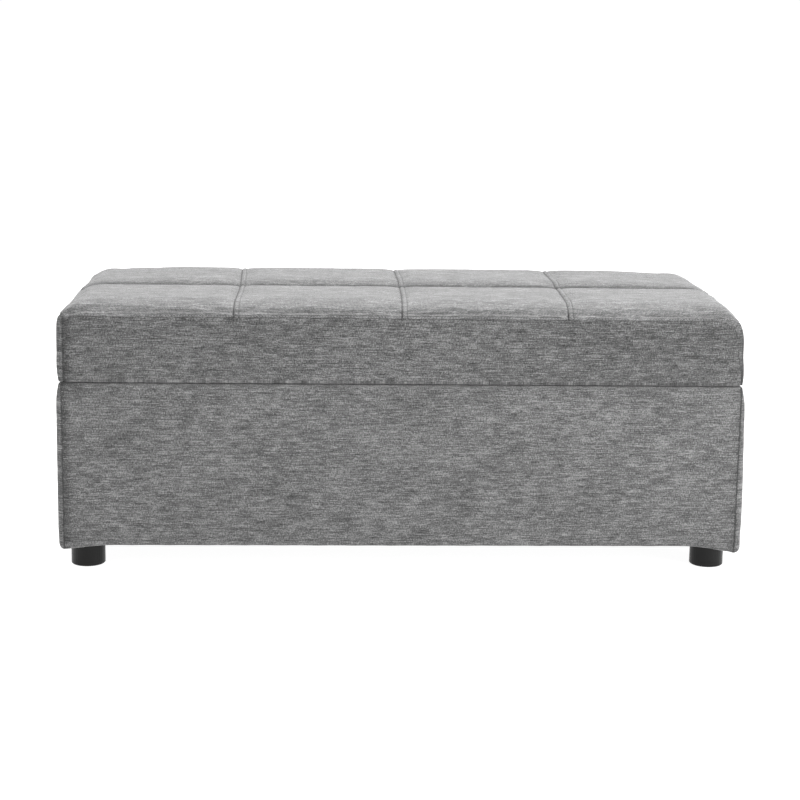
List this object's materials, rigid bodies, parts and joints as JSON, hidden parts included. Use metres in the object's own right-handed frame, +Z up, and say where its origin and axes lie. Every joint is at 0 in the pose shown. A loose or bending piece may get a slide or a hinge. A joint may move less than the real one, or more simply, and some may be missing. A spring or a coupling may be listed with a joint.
{
  "type": "storage bench",
  "caption": "Upholstered rectangular storage bench: padded box on short round feet with a hinged, quilted lid and folding lid stays.",
  "frame": {"origin": "centre of the bounding box at floor level, under the middle of the bench", "axes": "+X along the bench's length towards its right end seen from the front, +Y towards the hinged rear, +Z up"},
  "size_m": [1.1, 0.43, 0.436],
  "materials": {
    "fabric": "heathered grey chenille weave with fine horizontal slubs",
    "foam": "open-cell upholstery foam",
    "board": "raw particle board",
    "batten": "planed softwood",
    "lining": "black non-woven lining",
    "foot": "satin black moulded plastic",
    "steel": "zinc plated",
    "stay": "black powder coat"
  },
  "bodies": {
    "box": {"front_board": "board", "rear_board": "board", "left_end_board": "board", "right_end_board": "board", "bottom_board": "board", "corner_batten_front_left": "batten", "corner_batten_rear_left": "batten", "corner_batten_front_right": "batten", "corner_batten_rear_right": "batten", "dust_cover": "lining", "cavity_lining": "lining", "box_cover_front": "fabric", "box_cover_rear": "fabric", "box_cover_left": "fabric", "box_cover_right": "fabric", "foot_front_left": "foot", "foot_rear_left": "foot", "foot_front_right": "foot", "foot_rear_right": "foot", "foot_stud_front_left": "steel", "foot_stud_rear_left": "steel", "foot_stud_front_right": "steel", "foot_stud_rear_right": "steel", "hinge_box_leaf_left": "steel", "hinge_pin_left": "steel", "hinge_box_leaf_right": "steel", "hinge_pin_right": "steel", "hinge_screw_box_left_outer": "steel", "hinge_screw_box_left_inner": "steel", "hinge_screw_box_right_outer": "steel", "hinge_screw_box_right_inner": "steel", "stay_wall_bracket_left": "stay", "stay_wall_rivet_left": "stay", "stay_wall_bracket_right": "stay", "stay_wall_rivet_right": "stay"},
    "lid": {"lid_lining": "lining", "lid_board": "board", "foam_front": "foam", "foam_rear": "foam", "lid_boxing_front": "fabric", "lid_boxing_rear": "fabric", "lid_boxing_left": "fabric", "lid_boxing_right": "fabric", "quilted_top": "fabric", "hinge_lid_leaf_left": "steel", "hinge_lid_leaf_right": "steel", "hinge_screw_lid_left_outer": "steel", "hinge_screw_lid_left_inner": "steel", "hinge_screw_lid_right_outer": "steel", "hinge_screw_lid_right_inner": "steel", "stay_lid_bracket_left": "stay", "stay_lid_rivet_left": "stay", "stay_lid_bracket_right": "stay", "stay_lid_rivet_right": "stay"},
    "lower_arm_left": {"stay_lower_arm_left": "stay", "stay_elbow_rivet_left": "stay"},
    "upper_arm_left": {"stay_upper_arm_left": "stay"},
    "lower_arm_right": {"stay_lower_arm_right": "stay", "stay_elbow_rivet_right": "stay"},
    "upper_arm_right": {"stay_upper_arm_right": "stay"}
  },
  "joints": [
    {"name": "lid_hinge", "type": "hinge", "parent": "box", "child": "lid", "pos_m": [0, 0.2118, 0.3055], "axis": [-1, 0, 0], "range_deg": [0, 95]},
    {"name": "stay_wall_pivot_left", "type": "hinge", "parent": "box", "child": "lower_arm_left", "pos_m": [0, 0.0018, 0.2635], "axis": [-1, 0, 0], "range_deg": [0, 95]},
    {"name": "stay_elbow_left", "type": "hinge", "parent": "lower_arm_left", "child": "upper_arm_left", "pos_m": [0, -0.1032, 0.2505], "axis": [-1, 0, 0], "range_deg": [-95, 0]},
    {"name": "stay_wall_pivot_right", "type": "hinge", "parent": "box", "child": "lower_arm_right", "pos_m": [0, 0.0018, 0.2635], "axis": [-1, 0, 0], "range_deg": [0, 95]},
    {"name": "stay_elbow_right", "type": "hinge", "parent": "lower_arm_right", "child": "upper_arm_right", "pos_m": [0, -0.1032, 0.2505], "axis": [-1, 0, 0], "range_deg": [-95, 0]}
  ],
  "couplings": [
    {"joint": "stay_wall_pivot_left", "follows": "lid_hinge", "ratio": 1},
    {"joint": "stay_elbow_left", "follows": "lid_hinge", "ratio": -1},
    {"joint": "stay_wall_pivot_right", "follows": "lid_hinge", "ratio": 1},
    {"joint": "stay_elbow_right", "follows": "lid_hinge", "ratio": -1}
  ]
}
